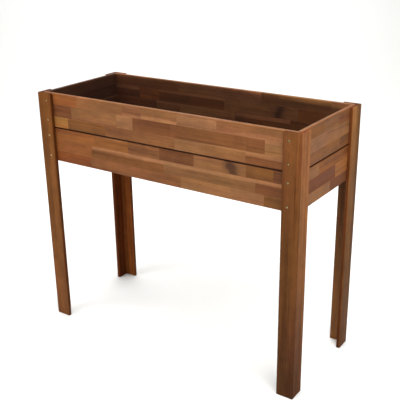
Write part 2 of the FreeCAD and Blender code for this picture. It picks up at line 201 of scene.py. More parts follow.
def stave_grid(start, end, section, normals, centre, half, nosed):
    """Points and normals of one stave: the section carried from start to end.

    Station angle a runs from 0 at a sawn end to a quarter turn inside it: the section is
    drawn in by GLUE_ROUND (1 - sin a), the station lies GLUE_ROUND (1 - cos a) inside the
    end, and the normal turns from the end's to the section's. Near the end of a nosed
    board the outer face falls back along a circle of radius LEG_HOLLOW."""
    angle = np.linspace(0, math.pi / 2, END_STEPS)
    near = start + GLUE_ROUND * (1 - np.cos(angle))
    far = end - GLUE_ROUND * (1 - np.cos(angle))
    nose = LEG_HOLLOW * np.linspace(NOSE_START, 1, NOSE_STEPS)
    between = np.array([])
    if nosed and start <= -half:
        between = np.concatenate([between, start + nose])
    if nosed and end >= half:
        between = np.concatenate([between, end - nose[::-1]])
    along = np.concatenate([near, between, far[::-1]])
    turn = np.concatenate([angle, np.full(len(between), math.pi / 2), angle[::-1]])
    facing = np.concatenate([-np.ones(END_STEPS), np.zeros(len(between)), np.ones(END_STEPS)])
    draw_in = GLUE_ROUND * (1 - np.sin(turn))
    reach = np.abs(section - centre).max(0)
    shrink = 1 - draw_in[:, None, None] / reach[None, None, :]
    flat = centre + (section[None] - centre) * shrink
    if nosed:
        depth = np.clip(half - np.abs(along), 0, LEG_HOLLOW)
        fall = LEG_HOLLOW - np.sqrt(LEG_HOLLOW ** 2 - (LEG_HOLLOW - depth) ** 2)
        thickness = section[:, 0].max()
        flat[..., 0] = fall[:, None] + flat[..., 0] * (1 - fall[:, None] / thickness)
    one_each = (*flat.shape[:2], 1)
    along = np.broadcast_to(along[:, None, None], one_each)
    ends = np.broadcast_to((facing * np.cos(turn))[:, None, None], one_each)
    side = np.sin(turn)[:, None, None] * normals[None]
    return np.concatenate([along, flat], 2), np.concatenate([ends, side], 2)


def tube_faces(rings, around, first):
    """Faces of a closed tube: quads from point k of ring n to points k and k + 1 of rings
    n and n + 1, then the two end faces. first is the number of the tube's first point."""
    ring = np.arange(rings - 1)[:, None] * around
    step = np.arange(around)[None]
    following = (step + 1) % around
    quads = np.stack([ring + step, ring + following,
                      ring + around + following, ring + around + step], -1)
    quads = (quads.reshape(-1, 4) + first).tolist()
    start = (first + np.arange(around))[::-1].tolist()
    end = (first + (rings - 1) * around + np.arange(around)).tolist()
    return quads + [start, end]


def build_board(node, rows, turn):
    """One wall board as a single mesh of separate glued staves.

    turn is the number of quarter turns from the front board. Point attributes carry the
    wood: grain is the place in the log, tint and sap are colours, strip is the distance
    from a long edge, the distance at which the pale strip starts and how squarely the
    point faces the gap, knot is the offset from the stave's knot, and inside runs from 0
    on the outer face to 1 on the inner face."""
    low, high = (np.array(corner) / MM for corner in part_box(node))
    middle = (low + high) / 2
    size = high - low
    is_long = turn % 2 == 0
    half = (size[0] if is_long else size[1]) / 2
    thickness = size[1] if is_long else size[0]
    tops = size[2] - np.concatenate([[0], np.cumsum(STAVE_ROWS)])
    seam_row, seam_side = SEAM_EDGES[node.rsplit("_", 1)[1]]
    store = {name: [] for name in ("place", "normal", *POINT_DATA)}
    faces = []
    count = 0
    for row, staves in enumerate(rows):
        top, bottom = tops[row], tops[row + 1]
        top_round = BOARD_ROUND if row == 0 else GLUE_ROUND
        bottom_round = BOARD_ROUND if row == len(rows) - 1 else GLUE_ROUND
        section, facing = rounded_section(bottom, top, bottom_round, top_round, thickness)
        centre = np.array([thickness, bottom + top]) / 2
        start = -half
        for end, tone, strip in staves:
            end = min(end, half)
            points, normals = (grid.reshape(-1, 3) for grid in stave_grid(
                start, end, section, facing, centre, half, is_long))
            log_place = draw.uniform(*LOG_PLACES)
            knots = [(x, z) for board, knot_row, x, z in KNOTS
                     if board == node and knot_row == row and start < x < end]
            knot_x, knot_z = knots[0] if knots else (NO_KNOT, NO_KNOT)
            shade = draw.uniform(1 - SHADE_SPREAD, 1 + SHADE_SPREAD)
            # Painted shade: how squarely the point faces the gap between the boards, which the
            # material darkens almost to black.
            gap_shade = normals[:, 2] * seam_side if row == seam_row else np.zeros(len(points))
            tint = np.array(linear(TONES[tone]))
            tint[:3] *= shade
            total = len(points)
            store["place"].append(points)
            store["normal"].append(normals)
            store["grain"].append((points[:, (0, 2, 1)] - (0, bottom, 0) + log_place) * MM)
            store["tint"].append(np.broadcast_to(tint, (total, 4)))
            store["sap"].append(np.broadcast_to(linear(TONES["sapwood"]), (total, 4)))
            from_edge = points[:, 2] - bottom if strip >= 0 else top - points[:, 2]
            store["strip"].append(np.stack([from_edge * MM,
                                            np.full(total, top - bottom - abs(strip)) * MM,
                                            np.clip(gap_shade, 0, 1)], 1))
            rise = points[:, 2] - bottom - knot_z
            store["knot"].append(np.stack([points[:, 0] - knot_x + KNOT_LEAN * rise, rise,
                                           np.zeros(total)], 1) * MM)
            store["inside"].append(points[:, 1] / thickness)
            faces += tube_faces(total // len(section), len(section), count)
            count += total
            start = end
    store = {name: np.concatenate(parts) for name, parts in store.items()}
    cosine, sine = ((1, 0), (0, 1), (-1, 0), (0, -1))[turn]
    spin = np.array([[cosine, sine, 0], [-sine, cosine, 0], [0, 0, 1]], float)
    local = store["place"] - (0, thickness / 2, 0)
    world = local @ spin + (middle[0], middle[1], low[2])
    mesh = bpy.data.meshes.new(node + "_staves")
    mesh.from_pydata((world * MM).tolist(), [], faces)
    mesh.polygons.foreach_set("use_smooth", np.ones(len(mesh.polygons), bool))
    for name, (kind, field) in POINT_DATA.items():
        layer = mesh.attributes.new(name, kind, "POINT")
        layer.data.foreach_set(field, np.ascontiguousarray(store[name], np.float32).ravel())
    mesh.normals_split_custom_set_from_vertices((store["normal"] @ spin).tolist())
    board = bpy.data.objects.new(node + "_staves", mesh)
    bpy.context.scene.collection.objects.link(board)
    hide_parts(node)
    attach(board, "root")
    return board


def add(tree, kind, inputs=None, **settings):
    """Adds a shader node. inputs maps socket names or numbers to values or to sockets."""
    node = tree.nodes.new("ShaderNode" + kind)
    for name, value in settings.items():
        setattr(node, name, value)
    for key, value in (inputs or {}).items():
        if isinstance(value, bpy.types.NodeSocket):
            tree.links.new(value, node.inputs[key])
        else:
            node.inputs[key].default_value = value
    return node


def new_material(name):
    """An empty node material and its shader."""
    material = bpy.data.materials.new(name)
    material.use_nodes = True
    tree = material.node_tree
    return material, tree, tree.nodes["Principled BSDF"]


# Figure in the wood: length along the grain and width across it. Real fibres and pores
# are 0.1 to 0.3 mm wide; they are drawn coarser, because they would not show.
HUE_DRIFT = (417, 67)
MINERAL_STREAK = (333, 14)
BROAD_SHADE = (222, 26.3)
RIPPLE = (38.5, 29.4)
FIBRE = (36, 1.1)
PORE = (7.7, 0.67)
STAVE_RING = 5.5                     # spacing of the growth rings
RING_BEND = 14                       # how far the drift carries a growth ring
# How far the figure darkens and lightens the wood, and the share of red, green and blue
# that the drift of the hue leaves at least and adds at most.
SHADE_RANGE = (0.84, 1.22)
FIBRE_RANGE = (0.9, 1.1)
RIPPLE_RANGE = (0.89, 1.11)
HUE_LEAST = (0.92, 0.87, 0.80)
HUE_ADDED = (0.16, 0.26, 0.4)
# What late wood, mineral streaks and open pores leave of the red, green and blue of the
# wood, and how strongly each of them shows.
LATE_WOOD = (0.80, 0.74, 0.70)
LATE_AMOUNT = 0.42
STREAK_WOOD = (0.62, 0.52, 0.50)
STREAK_AMOUNT = 0.62
PORE_WOOD = (0.5, 0.45, 0.42)
PORE_AMOUNT = 0.6
# The relief that planing leaves: its depth, and each figure's share of it.
FIGURE_RELIEF = 0.4
RELIEF_STRENGTH = 0.55
FIBRE_RISE = 0.35
RING_RISE = 0.25
PORE_RISE = -0.9
# Roughness: how much smoother and rougher than the mean it is in the broad shades, and
# how much rougher in an open pore.
SMOOTHER = 0.07
ROUGHER = 0.09
PORE_ROUGHER = 0.25
WOOD_IOR = 1.5


def per_metre(along, across):
    """How often a figure of this length and width in mm repeats in a metre, each way."""
    return 1 / (along * MM), 1 / (across * MM), 1 / (across * MM)


def figure_noise(tree, grain, size, detail, roughness=0.5):
    """Noise drawn out along the grain: it changes about once in each length and width."""
    repeats = add(tree, "VectorMath", {0: grain, 1: per_metre(*size)}, operation="MULTIPLY")
    return add(tree, "TexNoise", {"Vector": repeats.outputs[0], "Scale": 1, "Detail": detail,
                                  "Roughness": roughness})


def acacia_figure(tree, shader, grain, colour, roughness, gloss, ring):
    """Acacia wood about a grain vector (along, across, through the log) in metres.

    It gives growth rings bent by a slow drift of the hue, dark mineral streaks, broad
    shading with a ripple in it, fine fibres and open pores; the eye sees a lively brown
    figure with a dull oiled sheen."""
    drift = figure_noise(tree, grain, HUE_DRIFT, 2)
    bend = add(tree, "VectorMath", {0: drift.outputs["Color"], 1: (0.5, 0.5, 0.5)},
               operation="SUBTRACT")
    bend = add(tree, "VectorMath", {0: bend.outputs[0], 2: grain,
                                    1: (0, RING_BEND * MM, RING_BEND * MM)},
               operation="MULTIPLY_ADD")
    flat = add(tree, "VectorMath", {0: bend.outputs[0], 1: (0, 1, 1)}, operation="MULTIPLY")
    radius = add(tree, "VectorMath", {0: flat.outputs[0]}, operation="LENGTH")
    phase = add(tree, "Math", {0: radius.outputs["Value"], 1: 2 * math.pi / (ring * MM)},
                operation="MULTIPLY")
    wave = add(tree, "Math", {0: phase.outputs[0]}, operation="SINE")
    rings = add(tree, "MapRange", {"Value": wave.outputs[0], "From Min": -0.2, "From Max": 1.0},
                interpolation_type="SMOOTHSTEP")

    streak = figure_noise(tree, bend.outputs[0], MINERAL_STREAK, 3, roughness=0.6)
    streak = add(tree, "MapRange", {"Value": streak.outputs["Fac"], "From Min": 0.50,
                                    "From Max": 0.70}, interpolation_type="SMOOTHSTEP")
    broad = figure_noise(tree, grain, BROAD_SHADE, 2)
    fibre = figure_noise(tree, grain, FIBRE, 2)
    pores = figure_noise(tree, grain, PORE, 1)
    pores = add(tree, "MapRange", {"Value": pores.outputs["Fac"], "From Min": 0.62,
                                   "From Max": 0.72}, interpolation_type="SMOOTHSTEP")

    shade = add(tree, "MapRange", {"Value": broad.outputs["Fac"],
                                   "From Min": 0.25, "From Max": 0.75,
                                   "To Min": SHADE_RANGE[0], "To Max": SHADE_RANGE[1]})
    fine = add(tree, "MapRange", {"Value": fibre.outputs["Fac"],
                                  "From Min": 0.2, "From Max": 0.8,
                                  "To Min": FIBRE_RANGE[0], "To Max": FIBRE_RANGE[1]})
    ripple = figure_noise(tree, grain, RIPPLE, 2)
    ripple = add(tree, "MapRange", {"Value": ripple.outputs["Fac"],
                                    "From Min": 0.3, "From Max": 0.7,
                                    "To Min": RIPPLE_RANGE[0], "To Max": RIPPLE_RANGE[1]})
    light = add(tree, "Math", {0: shade.outputs[0], 1: fine.outputs[0]}, operation="MULTIPLY")
    light = add(tree, "Math", {0: light.outputs[0], 1: ripple.outputs[0]}, operation="MULTIPLY")
    hue = add(tree, "VectorMath", {0: drift.outputs["Color"], 1: HUE_ADDED, 2: HUE_LEAST},
              operation="MULTIPLY_ADD")
    warmed = add(tree, "VectorMath", {0: colour, 1: hue.outputs[0]}, operation="MULTIPLY")
    tinted = add(tree, "VectorMath", {0: warmed.outputs[0], "Scale": light.outputs[0]},
                 operation="SCALE")
    late = add(tree, "VectorMath", {0: tinted.outputs[0], 1: LATE_WOOD}, operation="MULTIPLY")
    late_amount = add(tree, "Math", {0: rings.outputs[0], 1: LATE_AMOUNT}, operation="MULTIPLY")
    ringed = add(tree, "Mix", {0: late_amount.outputs[0], 6: tinted.outputs[0],
                               7: late.outputs[0]}, data_type="RGBA")
    dark = add(tree, "VectorMath", {0: ringed.outputs[2], 1: STREAK_WOOD},
               operation="MULTIPLY")
    dark_amount = add(tree, "Math", {0: streak.outputs[0], 1: STREAK_AMOUNT},
                      operation="MULTIPLY")
    streaked = add(tree, "Mix", {0: dark_amount.outputs[0], 6: ringed.outputs[2],
                                 7: dark.outputs[0]}, data_type="RGBA")
    open_pore = add(tree, "VectorMath", {0: streaked.outputs[2], 1: PORE_WOOD},
                    operation="MULTIPLY")
    pore_amount = add(tree, "Math", {0: pores.outputs[0], 1: PORE_AMOUNT},
                      operation="MULTIPLY")
    pored = add(tree, "Mix", {0: pore_amount.outputs[0], 6: streaked.outputs[2],
                              7: open_pore.outputs[0]}, data_type="RGBA")
    tree.links.new(pored.outputs[2], shader.inputs["Base Color"])

    dry = add(tree, "MapRange", {"Value": broad.outputs["Fac"],
                                 "From Min": 0.3, "From Max": 0.7,
                                 "To Min": roughness - SMOOTHER, "To Max": roughness + ROUGHER})
    dull = add(tree, "Math", {0: pore_amount.outputs[0], 1: PORE_ROUGHER, 2: dry.outputs[0]},
               operation="MULTIPLY_ADD")
    tree.links.new(dull.outputs[0], shader.inputs["Roughness"])

    relief = add(tree, "Math", {0: fibre.outputs["Fac"], 1: FIBRE_RISE}, operation="MULTIPLY")
    relief = add(tree, "Math", {0: rings.outputs[0], 1: RING_RISE, 2: relief.outputs[0]},
                 operation="MULTIPLY_ADD")
    relief = add(tree, "Math", {0: pores.outputs[0], 1: PORE_RISE, 2: relief.outputs[0]},
                 operation="MULTIPLY_ADD")
    bump = add(tree, "Bump", {"Strength": RELIEF_STRENGTH, "Distance": FIGURE_RELIEF * MM,
                              "Height": relief.outputs[0]})
    tree.links.new(bump.outputs[0], shader.inputs["Normal"])
    shader.inputs["IOR"].default_value = WOOD_IOR
    shader.inputs["Specular IOR Level"].default_value = gloss


# Pale strips and knots.
EDGE_WAVER = (111, 25)               # length and width of a wave in a strip or a stain
STRIP_WAVER = 7                      # how far the edge of a pale strip wanders
STRIP_FADE = (1.0, 7.5)              # where, with that added, it begins and is fully pale
KNOT_SIZE = (38, 83)                 # reach of a knot along and across the grain
KNOT_WAVER = 0.9                     # how uneven its outline is, as a share of its reach
SMOKE_REACH = (0.55, 1.45)           # where its smoky patch begins to fade, and ends
SMOKE_AMOUNT = 0.75
SMOKY_WOOD = "#4E301F"
HEART_REACH = (0.50, 0.95)           # the same for the dark eye in the patch
HEART_AMOUNT = 0.7
KNOT_HEART = "#3C2112"
# Painted shade on the edges in the gap between boards: how squarely a point faces the gap where
# the shade begins and is full, how dark it gets, and its colour.
GAP_FACING = (0.25, 0.85)
GAP_SHADE_AMOUNT = 0.85
GAP_SHADE_COLOUR = "#301104"
# Soil stain and painted shade on the inner faces: the share of red, green and blue that they
# leave, how much of it the rim has, and the same, with far more painted shade, against the left
# boards. They are fainter above a line that wanders and that falls towards the right end, as the
# soil did.
SOIL_AND_SHADE = (0.28, 0.24, 0.23)
RIM_DIRT_AND_SHADE = 0.35
LEFT_SOIL_AND_SHADE = (0.15, 0.12, 0.11)
LEFT_RIM_DIRT_AND_SHADE = 0.95
ABOVE_TIDE = 0.35                    # share of the stain and painted shade above the line
TIDE_SLOPE = 0.04
TIDE_WAVER = 30
TIDE_FADE = (30, 6)                  # where, with that added, it fades: heights over the rim
INNER_DEPTHS = (0.8, 0.95)           # the inner face begins here, as shares of the thickness
RIM_DEPTHS = (0.12, 0.4)             # the rim's dirt and painted shade begin and are full here
RIM_HEIGHT = cad_box[1].z            # top of the boards and the legs, in scene units
STAVE_ROUGHNESS = 0.55
STAVE_GLOSS = 0.15
MATT_ROUGHER = 0.45                  # how much rougher the gap and the inner faces are


def oiled_acacia_staves(name, soil_and_shade, rim_dirt_and_shade):
    """Planed, oiled stave panel: every stave has its own tint and its own part of a log.

    Some staves keep a pale sapwood strip with a wavy, soft edge. A knot is a leaning dark
    eye in a smoky patch a few centimetres long. The edges in the gap between two boards
    get painted shade, almost black. The inner faces are darkened up to a wavy line just
    under the rim, partly a stain left by earth in the trough and partly painted shade, and
    the rim is darkened too; these dark parts are quite matt. The second argument is the
    share of red, green and blue that this darkening leaves, the third how much of it the
    rim has."""
    material, tree, shader = new_material(name)
    grain = add(tree, "Attribute", attribute_name="grain").outputs["Vector"]
    tint = add(tree, "Attribute", attribute_name="tint").outputs["Color"]
    sap = add(tree, "Attribute", attribute_name="sap").outputs["Color"]
    strip = add(tree, "Attribute", attribute_name="strip").outputs["Vector"]
    knot = add(tree, "Attribute", attribute_name="knot").outputs["Vector"]
    wander = figure_noise(tree, grain, EDGE_WAVER, 3)
    height = add(tree, "SeparateXYZ", {0: strip})
    above = add(tree, "Math", {0: height.outputs["X"], 1: height.outputs["Y"]},
                operation="SUBTRACT")
    wavy = add(tree, "Math", {0: wander.outputs["Fac"], 1: STRIP_WAVER * MM,
                              2: above.outputs[0]}, operation="MULTIPLY_ADD")
    pale = add(tree, "MapRange", {"Value": wavy.outputs[0], "From Min": STRIP_FADE[0] * MM,
                                  "From Max": STRIP_FADE[1] * MM},
               interpolation_type="SMOOTHSTEP")
    wood = add(tree, "Mix", {0: pale.outputs[0], 6: tint, 7: sap}, data_type="RGBA")
    away = add(tree, "VectorMath", {0: knot, 1: per_metre(*KNOT_SIZE)},
               operation="MULTIPLY")
    away = add(tree, "VectorMath", {0: away.outputs[0]}, operation="LENGTH")
    uneven = add(tree, "Math", {0: wander.outputs["Fac"], 1: KNOT_WAVER,
                                2: away.outputs["Value"]}, operation="MULTIPLY_ADD")
    shadow = add(tree, "MapRange", {"Value": uneven.outputs[0],
                                    "From Min": SMOKE_REACH[0], "From Max": SMOKE_REACH[1],
                                    "To Min": SMOKE_AMOUNT, "To Max": 0.0},
                 interpolation_type="SMOOTHSTEP")
    smoky = add(tree, "Mix", {0: shadow.outputs[0], 6: wood.outputs[2],
                              7: linear(SMOKY_WOOD)}, data_type="RGBA")
    core = add(tree, "MapRange", {"Value": uneven.outputs[0],
                                  "From Min": HEART_REACH[0], "From Max": HEART_REACH[1],
                                  "To Min": HEART_AMOUNT, "To Max": 0.0},
               interpolation_type="SMOOTHSTEP")
    eye = add(tree, "Mix", {0: core.outputs[0], 6: smoky.outputs[2],
                            7: linear(KNOT_HEART)}, data_type="RGBA")
    # Painted shade: the edges that face the gap between the boards are darkened almost to black.
    gap_shade = add(tree, "MapRange", {"Value": height.outputs["Z"],
                                    "From Min": GAP_FACING[0], "From Max": GAP_FACING[1],
                                    "To Max": GAP_SHADE_AMOUNT})
    gap = add(tree, "Mix", {0: gap_shade.outputs[0], 6: eye.outputs[2],
                            7: linear(GAP_SHADE_COLOUR)}, data_type="RGBA")
    inside = add(tree, "Attribute", attribute_name="inside").outputs["Fac"]
    on_inside = add(tree, "MapRange", {"Value": inside, "From Min": INNER_DEPTHS[0],
                                       "From Max": INNER_DEPTHS[1]})
    on_rim = add(tree, "MapRange", {"Value": inside, "From Min": RIM_DEPTHS[0],
                                    "From Max": RIM_DEPTHS[1], "To Max": rim_dirt_and_shade})
    place = add(tree, "SeparateXYZ", {0: add(tree, "TexCoord").outputs["Object"]})
    tide = add(tree, "Math", {0: wander.outputs["Fac"], 1: TIDE_WAVER * MM,
                              2: place.outputs["Z"]}, operation="MULTIPLY_ADD")
    tide = add(tree, "Math", {0: place.outputs["X"], 1: TIDE_SLOPE, 2: tide.outputs[0]},
               operation="MULTIPLY_ADD")
    below = add(tree, "MapRange", {"Value": tide.outputs[0],
                                   "From Min": RIM_HEIGHT + TIDE_FADE[0] * MM,
                                   "From Max": RIM_HEIGHT + TIDE_FADE[1] * MM,
                                   "To Min": ABOVE_TIDE, "To Max": 1.0},
                interpolation_type="SMOOTHSTEP")
    # Soil stain and painted shade: the inner faces below the wavy line, and the rim.
    stain_shade_mask = add(tree, "Math", {0: on_inside.outputs[0], 1: below.outputs[0]},
               operation="MULTIPLY")
    stain_shade_mask = add(tree, "Math", {0: stain_shade_mask.outputs[0], 1: on_rim.outputs[0]}, operation="MAXIMUM")
    darkened_by_stain_and_shade = add(tree, "VectorMath", {0: gap.outputs[2], 1: soil_and_shade}, operation="MULTIPLY")
    soiled_and_shaded = add(tree, "Mix", {0: stain_shade_mask.outputs[0], 6: gap.outputs[2], 7: darkened_by_stain_and_shade.outputs[0]},
                 data_type="RGBA")
    acacia_figure(tree, shader, grain, soiled_and_shaded.outputs[2], STAVE_ROUGHNESS, STAVE_GLOSS,
                  STAVE_RING)
    hidden = add(tree, "Math", {0: on_inside.outputs[0], 1: 0.5, 2: height.outputs["Z"]},
                 operation="MULTIPLY_ADD")
    matt = add(tree, "MapRange", {"Value": hidden.outputs[0], "From Min": 0.1,
                                  "From Max": 0.6, "To Max": MATT_ROUGHER})
    figured = shader.inputs["Roughness"].links[0].from_socket
    rough = add(tree, "Math", {0: figured, 1: matt.outputs[0]}, operation="ADD",
                use_clamp=True)
    tree.links.new(rough.outputs[0], shader.inputs["Roughness"])
    return material


# Both materials darken the inner faces and rim with soil stain and painted shade; the left
# boards' material has far more painted shade.
stave_wood = oiled_acacia_staves("oiled_acacia_staves", SOIL_AND_SHADE, RIM_DIRT_AND_SHADE)
left_shaded_wood = oiled_acacia_staves("oiled_acacia_staves_shaded_left", LEFT_SOIL_AND_SHADE, LEFT_RIM_DIRT_AND_SHADE)
for turn, side in enumerate(("front", "right", "back", "left")):
    for level in ("upper", "lower"):
        node = "%s_board_%s" % (side, level)
        low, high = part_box(node)
        half_length = max(high.x - low.x, high.y - low.y) / 2 / MM
        rows = LAID_STAVES.get(node) or chance_staves(half_length)
        wood = left_shaded_wood if side == "left" else stave_wood
        build_board(node, rows, turn).data.materials.append(wood)

# ---------------------------------------------------------------------------------------
# Legs.
# Each leg is one L-section post of solid acacia, moulded from a single length: flat
# outside, hollow in the inner corner, all edges and both ends rounded over and oiled.
# Its countersunk screw holes are part of the piece.
# ---------------------------------------------------------------------------------------
leg_low, leg_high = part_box("leg_front_right")
LEG_OUTER_X = leg_high.x / MM        # outer faces of the legs, from the middle
LEG_OUTER_Y = -leg_low.y / MM
LEG_FREE_X = leg_low.x / MM          # free edges of the front and back flanges
LEG_THICKNESS = (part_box("front_board_upper")[0].y - leg_low.y) / MM
POST_BAND = (769, 16.7)              # bands along a post, length by width
POST_RING = 6.5                      # spacing of the growth rings
TONE_SPAN = (50, 700)                # between these heights the foot's tone turns to the top's, a painted fall-off of light
BAND_RANGE = (0.82, 1.18)            # how far the bands darken and lighten the wood
# What is left of the red, green and blue on the side flange's inner face, darkened as painted
# shade, on the free edge of the other flange, painted shade beside the board, and at the sawn
# top, which is darker.
FLANK_SHADE = (0.65, 0.46, 0.4)
EDGE_SHADE_AND_TOP = (0.6, 0.5, 0.42)
HOLLOW_DEPTHS = (2, 4)               # inner tones begin and are full this far inside
FLANK_REACH = (3, 0.5)               # the same, short of the side flange's inner face
EDGE_DEPTHS = (1.5, 0.5)             # the same for the painted shade, in from the free edge
TOP_DEPTHS = (1.6, 0.4)              # and down from the top
SIDE_BEGINS = 0.6                    # share of the way in at which the side tone begins
POST_ROUGHNESS = 0.58
POST_GLOSS = 0.04
# Tones of each leg, lit and shaded copies of one wood that paint the light and shade on each
# face and height: front or back face at the top and at the foot, side face at the top and at the
# foot, inner face; then how far from the corner the side tone is full, in mm.
LEG_LIT_TONES = {
    "leg_front_right": ("#6E4222", "#482B16", "#955F38", "#563115", "#5C3418", 6),
    "leg_front_left": ("#714421", "#6D4425", "#6C3F1D", "#643712", "#5C3418", 6),
    "leg_back_left": ("#6B4222", "#684024", "#75441F", "#6E3E1C", "#75401A", 6),
    "leg_back_right": ("#6B4628", "#5E3E24", "#8B5E33", "#5C381B", "#6F482B", 30),
}


def oiled_acacia_post(name, tones):
    """Moulded, oiled solid post: the figure runs upright in long bands, browner and calmer
    than the staves. Each post has a tone for its front or back and one for its side, both
    drifting from top to foot, and one for its inner faces; these tones paint the light and
    shade on each face and height. The side flange's inner face is darker with painted
    shade, the free edge of the other flange has painted shade beside the board, and the
    sawn top is darker too."""
    material, tree, shader = new_material(name)
    place = add(tree, "TexCoord").outputs["Object"]
    axes = add(tree, "SeparateXYZ", {0: place})
    grain = add(tree, "CombineXYZ", {"X": axes.outputs["Z"], "Y": axes.outputs["X"],
                                     "Z": axes.outputs["Y"]})
    far_x = add(tree, "Math", {0: axes.outputs["X"]}, operation="ABSOLUTE")
    far_y = add(tree, "Math", {0: axes.outputs["Y"]}, operation="ABSOLUTE")
    *colours, side_full = tones
    face_top, face_foot, side_top, side_foot, inner = (linear(tone) for tone in colours)
    # Painted light: the tones fall off from the top to the foot.
    climb = add(tree, "MapRange", {"Value": axes.outputs["Z"],
                                   "From Min": TONE_SPAN[0] * MM, "From Max": TONE_SPAN[1] * MM})
    face = add(tree, "Mix", {0: climb.outputs[0], 6: face_foot, 7: face_top}, data_type="RGBA")
    side = add(tree, "Mix", {0: climb.outputs[0], 6: side_foot, 7: side_top}, data_type="RGBA")
    # Painted light: the side face has its own tone, lighter or darker than the front as the
    # light falls on it.
    on_side = add(tree, "MapRange", {"Value": far_y.outputs[0],
                                     "From Min": (LEG_OUTER_Y - SIDE_BEGINS * side_full) * MM,
                                     "From Max": (LEG_OUTER_Y - side_full) * MM},
                  interpolation_type="SMOOTHSTEP")
    wood = add(tree, "Mix", {0: on_side.outputs[0], 6: face.outputs[2], 7: side.outputs[2]},
               data_type="RGBA")
    bands = figure_noise(tree, grain.outputs[0], POST_BAND, 2)
    light = add(tree, "MapRange", {"Value": bands.outputs["Fac"],
                                   "From Min": 0.3, "From Max": 0.7,
                                   "To Min": BAND_RANGE[0], "To Max": BAND_RANGE[1]})
    banded = add(tree, "VectorMath", {0: wood.outputs[2], "Scale": light.outputs[0]},
                 operation="SCALE")
    # Painted shade on the inner faces of the L, darker still on the side flange's inner face.
    inside_x = add(tree, "MapRange", {"Value": far_x.outputs[0],
                                      "From Min": (LEG_OUTER_X - HOLLOW_DEPTHS[0]) * MM,
                                      "From Max": (LEG_OUTER_X - HOLLOW_DEPTHS[1]) * MM})
    inside_y = add(tree, "MapRange", {"Value": far_y.outputs[0],
                                      "From Min": (LEG_OUTER_Y - HOLLOW_DEPTHS[0]) * MM,
                                      "From Max": (LEG_OUTER_Y - HOLLOW_DEPTHS[1]) * MM})
    inside = add(tree, "Math", {0: inside_x.outputs[0], 1: inside_y.outputs[0]},
                 operation="MULTIPLY")
    flank_x = LEG_OUTER_X - LEG_THICKNESS
    flank = add(tree, "MapRange", {"Value": far_x.outputs[0],
                                   "From Min": (flank_x - FLANK_REACH[0]) * MM,
                                   "From Max": (flank_x - FLANK_REACH[1]) * MM})
    inner = add(tree, "VectorMath", {0: inner[:3], "Scale": light.outputs[0]},
                operation="SCALE")
    flank_shaded = add(tree, "VectorMath", {0: banded.outputs[0], 1: FLANK_SHADE},
                 operation="MULTIPLY")
    flank_shaded = add(tree, "Mix", {0: flank.outputs[0], 6: inner.outputs[0], 7: flank_shaded.outputs[0]},
                 data_type="RGBA")
    inner_shaded = add(tree, "Mix", {0: inside.outputs[0], 6: banded.outputs[0], 7: flank_shaded.outputs[2]},
              data_type="RGBA")
    # Painted shade along the free edge beside the board, and a darker sawn top.
    free_x = add(tree, "MapRange", {"Value": far_x.outputs[0],
                                    "From Min": (LEG_FREE_X + EDGE_DEPTHS[0]) * MM,
                                    "From Max": (LEG_FREE_X + EDGE_DEPTHS[1]) * MM})
    top = add(tree, "MapRange", {"Value": axes.outputs["Z"],
                                 "From Min": RIM_HEIGHT - TOP_DEPTHS[0] * MM,
                                 "From Max": RIM_HEIGHT - TOP_DEPTHS[1] * MM})
    edge = add(tree, "Math", {0: free_x.outputs[0], 1: top.outputs[0]}, operation="MAXIMUM")
    darker = add(tree, "VectorMath", {0: inner_shaded.outputs[2], 1: EDGE_SHADE_AND_TOP},
                 operation="MULTIPLY")
    edge_and_top_darkened = add(tree, "Mix", {0: edge.outputs[0], 6: inner_shaded.outputs[2], 7: darker.outputs[0]},
                 data_type="RGBA")
    acacia_figure(tree, shader, grain.outputs[0], edge_and_top_darkened.outputs[2], POST_ROUGHNESS,
                  POST_GLOSS, POST_RING)
    return material


for node, tones in LEG_LIT_TONES.items():
    post_wood = oiled_acacia_post("oiled_acacia_post_" + node.removeprefix("leg_"), tones)
    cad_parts[node].material_slots[0].material = post_wood

# ---------------------------------------------------------------------------------------
# Floor.
# Two square acacia cleats are screwed along the inside of the lower long boards, and
# eight planed slats lie across them with gaps between, so that water runs out. They are
# darker than the walls outside.
# ---------------------------------------------------------------------------------------
SLAT_TONES = ("#4A2E1B", "#5E3F28")
CLEAT_TONES = ("#4A2E1B", "#56371F")
FLOOR_RING = 6.0                     # spacing of the growth rings
FLOOR_LOG = 7000                     # how much of a log the pieces come from
FLOOR_ROUGHNESS = 0.62
FLOOR_GLOSS = 0.12


def planed_acacia(name, order, spacing, tones):
    """Planed acacia, darker than the walls: straight figure along the piece, dull and dark
    to the eye. Each piece has its own tone between the two given, and its own part of a
    log, picked by the number of whole spacings across the grain to where it lies.

    order names the object axes that run along, across and through the grain."""
    material, tree, shader = new_material(name)
    place = add(tree, "TexCoord").outputs["Object"]
    axes = add(tree, "SeparateXYZ", {0: place})
    grain = add(tree, "CombineXYZ", {"X": axes.outputs[order[0]], "Y": axes.outputs[order[1]],
                                     "Z": axes.outputs[order[2]]})
    number = add(tree, "Math", {0: axes.outputs[order[1]], 1: spacing}, operation="DIVIDE")
    number = add(tree, "Math", {0: number.outputs[0]}, operation="FLOOR")
    pick = add(tree, "TexWhiteNoise", {"W": number.outputs[0]}, noise_dimensions="1D")
    wood = add(tree, "Mix", {0: pick.outputs["Value"], 6: linear(tones[0]),
                             7: linear(tones[1])}, data_type="RGBA")
    shift = add(tree, "Math", {0: pick.outputs["Value"], 1: FLOOR_LOG * MM},
                operation="MULTIPLY")
    shift = add(tree, "CombineXYZ", {"X": shift.outputs[0]})
    own = add(tree, "VectorMath", {0: grain.outputs[0], 1: shift.outputs[0]}, operation="ADD")
    acacia_figure(tree, shader, own.outputs[0], wood.outputs[2], FLOOR_ROUGHNESS,
                  FLOOR_GLOSS, FLOOR_RING)
    return material


